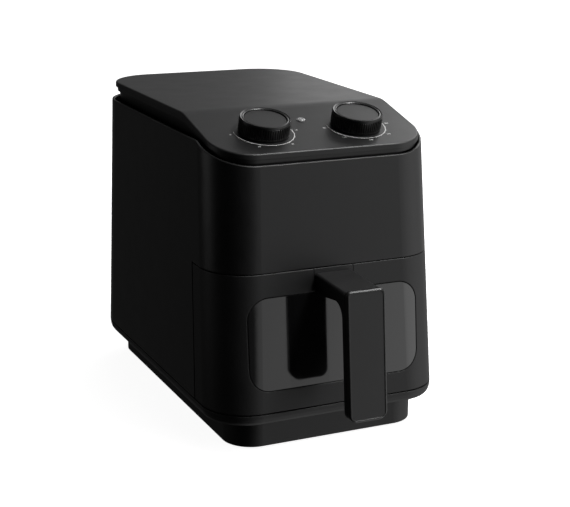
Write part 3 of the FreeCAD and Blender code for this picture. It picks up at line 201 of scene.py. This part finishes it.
class Finish:
    """A node material in the making: its Principled shader and short ways to add nodes."""

    def __init__(self, name, colour, roughness, metallic=0.0):
        self.material = bpy.data.materials.new(name)
        self.material.use_nodes = True
        self.tree = self.material.node_tree
        self.shader = self.tree.nodes["Principled BSDF"]
        self.shader.inputs["Base Color"].default_value = (*colour, 1)
        self.shader.inputs["Roughness"].default_value = roughness
        self.shader.inputs["Metallic"].default_value = metallic
        self.place = self.tree.nodes.new("ShaderNodeTexCoord").outputs["Object"]
        self.normal = None

    def set(self, **inputs):
        for name, value in inputs.items():
            self.shader.inputs[name.replace("_", " ")].default_value = value

    def node(self, kind, inputs=None, **settings):
        made = self.tree.nodes.new(kind)
        for name, value in settings.items():
            setattr(made, name, value)
        for name, value in (inputs or {}).items():
            if isinstance(value, bpy.types.NodeSocket):
                self.tree.links.new(value, made.inputs[name])
            else:
                made.inputs[name].default_value = value
        return made

    def noise(self, scale, detail=3.0, stretch=None):
        place = self.place
        if stretch:
            place = self.node("ShaderNodeMapping", {"Vector": place, "Scale": stretch}).outputs[0]
        inputs = {"Vector": place, "Scale": scale, "Detail": detail}
        return self.node("ShaderNodeTexNoise", inputs).outputs["Fac"]

    def spread(self, source, low, high, start=0.3, end=0.7):
        """Maps a 0..1 pattern between two numbers."""
        inputs = {"Value": source, "From Min": start, "From Max": end, "To Min": low, "To Max": high}
        return self.node("ShaderNodeMapRange", inputs).outputs["Result"]

    def tint(self, source, dark, light):
        """Varies the base colour between two colours by a 0..1 pattern."""
        mix = self.node("ShaderNodeMix", data_type="RGBA")
        self.tree.links.new(source, mix.inputs["Factor"])
        mix.inputs["A"].default_value = (*dark, 1)
        mix.inputs["B"].default_value = (*light, 1)
        self.tree.links.new(mix.outputs["Result"], self.shader.inputs["Base Color"])

    def rough(self, source):
        self.tree.links.new(source, self.shader.inputs["Roughness"])

    def soft_edges(self, radius):
        """Rounds the shading of sharp moulded edges."""
        self.normal = self.node("ShaderNodeBevel", {"Radius": radius}, samples=4).outputs["Normal"]

    def bump(self, source, height):
        inputs = {"Height": source, "Distance": height}
        if self.normal:
            inputs["Normal"] = self.normal
        self.normal = self.node("ShaderNodeBump", inputs).outputs["Normal"]

    def done(self):
        if self.normal:
            self.tree.links.new(self.normal, self.shader.inputs["Normal"])
        return self.material


GRAIN_HEIGHT = 0.012 * MM
MOTTLE = 0.02
ALONG_X = (1, 40, 40)
ALONG_Y = (40, 1, 40)
SPECKLE_GREY = (0.16, 0.16, 0.165)


def shade(colour, factor):
    return tuple(channel * factor for channel in colour)


def moulded(name, colour, rough, edge=1.1 * MM, level=0.5):
    """Moulded plastic: fine grain, slow roughness changes and softened edges."""
    finish = Finish(name, colour, rough)
    finish.set(Specular_IOR_Level=level)
    slow = finish.noise(scale=45.0, detail=4.0)
    fine = finish.noise(scale=1500.0, detail=2.0)
    finish.tint(slow, shade(colour, 0.82), shade(colour, 1.2))
    finish.rough(finish.spread(slow, rough - MOTTLE, rough + MOTTLE))
    finish.soft_edges(edge)
    finish.bump(fine, GRAIN_HEIGHT)
    return finish.done()


def glassy(name, colour, rough, level=0.5, coat=0.0, droop=0.0):
    """Polished glass or clear plastic; droop turns its reflections down, as a sagging pane does."""
    finish = Finish(name, colour, rough)
    finish.set(Specular_IOR_Level=level, Coat_Weight=coat, Coat_Roughness=0.02)
    haze = finish.noise(scale=30.0)
    finish.rough(finish.spread(haze, rough * 0.7, rough * 1.5))
    surface = finish.node("ShaderNodeNewGeometry").outputs["Normal"]
    turned = finish.node("ShaderNodeVectorMath", {0: surface, 1: (0, 0, -droop)}, operation="ADD")
    finish.normal = turned.outputs["Vector"]
    finish.bump(finish.noise(scale=6.0, detail=1.0), 0.04 * MM)
    return finish.done()


def metal(name, colour, rough, grain=ALONG_X, scale=60.0, dent=0.01 * MM):
    """Rolled or drawn metal with fine lines one way."""
    finish = Finish(name, colour, rough, metallic=1.0)
    lines = finish.noise(scale=scale, detail=4.0, stretch=grain)
    cloud = finish.noise(scale=22.0)
    finish.tint(cloud, shade(colour, 0.82), shade(colour, 1.1))
    finish.rough(finish.spread(lines, rough - 0.08, rough + 0.12))
    finish.bump(lines, dent)
    return finish.done()


def coated(name, colour, rough):
    """Non-stick coating: dark, with fine light speckle."""
    finish = Finish(name, colour, rough)
    speckle = finish.noise(scale=900.0, detail=1.0)
    sparse = finish.spread(speckle, 0.0, 1.0, start=0.66, end=0.74)
    finish.tint(sparse, colour, SPECKLE_GREY)
    finish.rough(finish.spread(finish.noise(scale=40.0), rough - 0.06, rough + 0.08))
    finish.bump(finish.noise(scale=350.0), 0.03 * MM)
    return finish.done()


def rubber(name, colour):
    """Soft black rubber with a little dust on it."""
    finish = Finish(name, colour, roughness=0.75)
    finish.set(Specular_IOR_Level=0.3)
    dust = finish.noise(scale=90.0, detail=5.0)
    finish.tint(dust, colour, shade(colour, 1.7))
    finish.bump(finish.noise(scale=1200.0), 0.02 * MM)
    return finish.done()


def fibre(name, colour):
    """Pressed insulation felt with a loose surface."""
    finish = Finish(name, colour, roughness=0.95)
    finish.set(Sheen_Weight=0.3)
    fluff = finish.noise(scale=420.0, detail=6.0)
    finish.tint(fluff, shade(colour, 0.75), colour)
    finish.bump(fluff, 0.4 * MM)
    return finish.done()


def tinted_clear(name, colour):
    """Tinted clear plastic with small facets, for the indicator's lens and lamp."""
    finish = Finish(name, colour, roughness=0.25)
    finish.set(Transmission_Weight=0.6, IOR=1.49)
    facets = finish.noise(scale=600.0, detail=1.0)
    finish.bump(facets, 0.05 * MM)
    finish.rough(finish.spread(facets, 0.15, 0.3))
    return finish.done()


def printed(name, colour):
    """Pad-printed paint, slightly uneven."""
    finish = Finish(name, colour, roughness=0.5)
    worn = finish.noise(scale=700.0)
    finish.tint(worn, shade(colour, 0.8), colour)
    finish.bump(worn, 0.01 * MM)
    return finish.done()


BLACK = (0.0075, 0.0075, 0.0078)
HANDLE_BLACK = (0.012, 0.012, 0.0122)
FINISHES = {
    "shell_satin": moulded("shell_satin", BLACK, 0.38),
    "shell_matt": moulded("shell_matt", BLACK, 0.5),
    "cover_satin": moulded("cover_satin", (0.009, 0.009, 0.0093), 0.42),
    "handle_satin": moulded("handle_satin", HANDLE_BLACK, 0.40, edge=1.4 * MM),
    "knob_black": moulded("knob_black", (0.006, 0.006, 0.006), 0.3, edge=0.25 * MM),
    "knob_disc": moulded("knob_disc", HANDLE_BLACK, 0.42, edge=0.3 * MM),
    "window_smoke": glassy(
        "window_smoke", (0.008, 0.008, 0.0085), 0.05, level=1.0, coat=0.2, droop=0.1,
    ),
    "inner_glass": glassy("inner_glass", (0.02, 0.02, 0.021), 0.05),
    "seal_rubber": rubber("seal_rubber", (0.006, 0.006, 0.006)),
    "basket_coating": coated("basket_coating", (0.018, 0.018, 0.019), 0.36),
    # Inner plastic is real black plastic, but it is made darker and less shiny than the outer black as
    # painted shade, so the seams that look in on it read dark.
    "inner_plastic": moulded("inner_plastic", (0.004, 0.004, 0.004), 0.6, level=0.15),
    "galvanised_sheet": metal("galvanised_sheet", (0.50, 0.51, 0.52), 0.42),
    "element_steel": metal("element_steel", (0.30, 0.27, 0.24), 0.4),
    "felt": fibre("felt", (0.75, 0.73, 0.68)),
    "motor_steel": metal("motor_steel", (0.42, 0.42, 0.43), 0.38),
    "brass": metal("brass", (0.62, 0.45, 0.22), 0.35),
    "copper_coil": metal(
        "copper_coil", (0.62, 0.25, 0.12), 0.35, grain=ALONG_Y, scale=200.0, dent=0.08 * MM,
    ),
    "fan_aluminium": metal("fan_aluminium", (0.72, 0.72, 0.73), 0.35),
    "screw_steel": metal("screw_steel", (0.55, 0.55, 0.56), 0.3),
    "lens": tinted_clear("lens", (0.55, 0.55, 0.55)),
    "lamp": tinted_clear("lamp", (0.8, 0.25, 0.08)),
}
PRINT_WHITE = printed("print_white", (0.75, 0.75, 0.74))


def dress_cad_nodes():
    """Gives each CAD node the finish of its material slot."""
    for part in frame["record"]["subparts"]:
        target = frame["nodes"][part["node"]]
        target.data.materials.clear()
        target.data.materials.append(FINISHES[part["material_slot"]])


dress_cad_nodes()

# ---------------------------------------------------------------- dial print

ARC_RADIUS = 30.2 * MM
ARC_WIDTH = 0.7 * MM
ARC_START = math.radians(-192)
ARC_END = math.radians(22)
ARC_STEPS = 96
# The settings run from the dial's left side, past its front, to its right side.
SETTINGS_START = math.radians(-180)
SETTINGS_END = 0.0
TICKS = 13
TICK_LENGTH = 1.3 * MM
TICK_WIDTH = 0.5 * MM
TICK_STEPS = 2
NUMBER_RADIUS = 35.0 * MM
NUMBER_SIZE = 2.9 * MM
NUMBER_BOLDNESS = 0.03 * MM
PRINT_LIFT = 0.03 * MM
PRINT_DEPTH = 0.04 * MM


def dial_place(joint_name):
    """The middle of a dial on the sloped panel, with the dial's axis as local Z."""
    joint = next(joint for joint in frame["joints"] if joint["name"] == joint_name)
    axis = Vector(joint["axis"])
    lean = math.atan2(-axis.y, axis.z)
    return Matrix.Translation(joint["pos_m"]) @ Matrix.Rotation(lean, 4, "X")


def setting_turn(index, count):
    """The angle of one of a number of evenly spaced settings."""
    return SETTINGS_START + (SETTINGS_END - SETTINGS_START) * index / (count - 1)


def print_on_panel(name, mesh, place):
    """One printed mark, a thin layer of paint that stays on the housing."""
    mark = add_object(name, mesh)
    mark.matrix_world = place @ Matrix.Translation((0, 0, PRINT_LIFT))
    mesh.materials.append(PRINT_WHITE)
    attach(mark, "housing")


def add_band(paint, inner, outer, start, end, steps):
    """A flat strip of paint with thickness, between two radii and two angles."""
    section = ((inner, 0), (outer, 0), (outer, PRINT_DEPTH), (inner, PRINT_DEPTH))
    previous = None
    for step in range(steps + 1):
        angle = start + (end - start) * step / steps
        side = Vector((math.cos(angle), math.sin(angle), 0))
        row = [paint.verts.new(side * radius + Vector((0, 0, height))) for radius, height in section]
        if previous:
            join_rows(paint, previous, row)
        else:
            paint.faces.new(reversed(row))
        previous = row
    paint.faces.new(previous)


def print_arc(name, place):
    """A white arc round a dial, with its ticks."""
    paint = bmesh.new()
    half = ARC_WIDTH / 2
    add_band(paint, ARC_RADIUS - half, ARC_RADIUS + half, ARC_START, ARC_END, ARC_STEPS)
    spread = TICK_WIDTH / 2 / ARC_RADIUS
    for index in range(TICKS):
        turn = setting_turn(index, TICKS)
        tick_end = ARC_RADIUS + TICK_LENGTH
        add_band(paint, ARC_RADIUS, tick_end, turn - spread, turn + spread, TICK_STEPS)
    bmesh.ops.recalc_face_normals(paint, faces=paint.faces)
    mesh = bpy.data.meshes.new(name)
    paint.to_mesh(mesh)
    paint.free()
    print_on_panel(name, mesh, place)


def print_number(name, number, place):
    """One upright number as a thin solid."""
    data = bpy.data.curves.new(name, "FONT")
    data.body = number
    data.size = NUMBER_SIZE
    data.extrude = PRINT_DEPTH / 2
    data.offset = NUMBER_BOLDNESS
    data.align_x = "CENTER"
    data.align_y = "CENTER"
    writing = bpy.data.objects.new(name, data)
    shape = bpy.data.meshes.new_from_object(writing)
    bpy.data.objects.remove(writing)
    print_on_panel(name, shape, place)


def print_scale(dial, numbers):
    """The arc, the ticks and the evenly spaced numbers round a dial."""
    place = dial_place(dial + "_turn")
    print_arc(dial + "_arc", place)
    for index, number in enumerate(numbers):
        turn = setting_turn(index, len(numbers))
        spot = Vector((NUMBER_RADIUS * math.cos(turn), NUMBER_RADIUS * math.sin(turn), PRINT_DEPTH / 2))
        print_number("%s_number_%s" % (dial, number), number, place @ Matrix.Translation(spot))


print_scale("timer", ("0", "20", "40", "60"))
print_scale("temperature", ("80", "110", "140", "170", "200"))
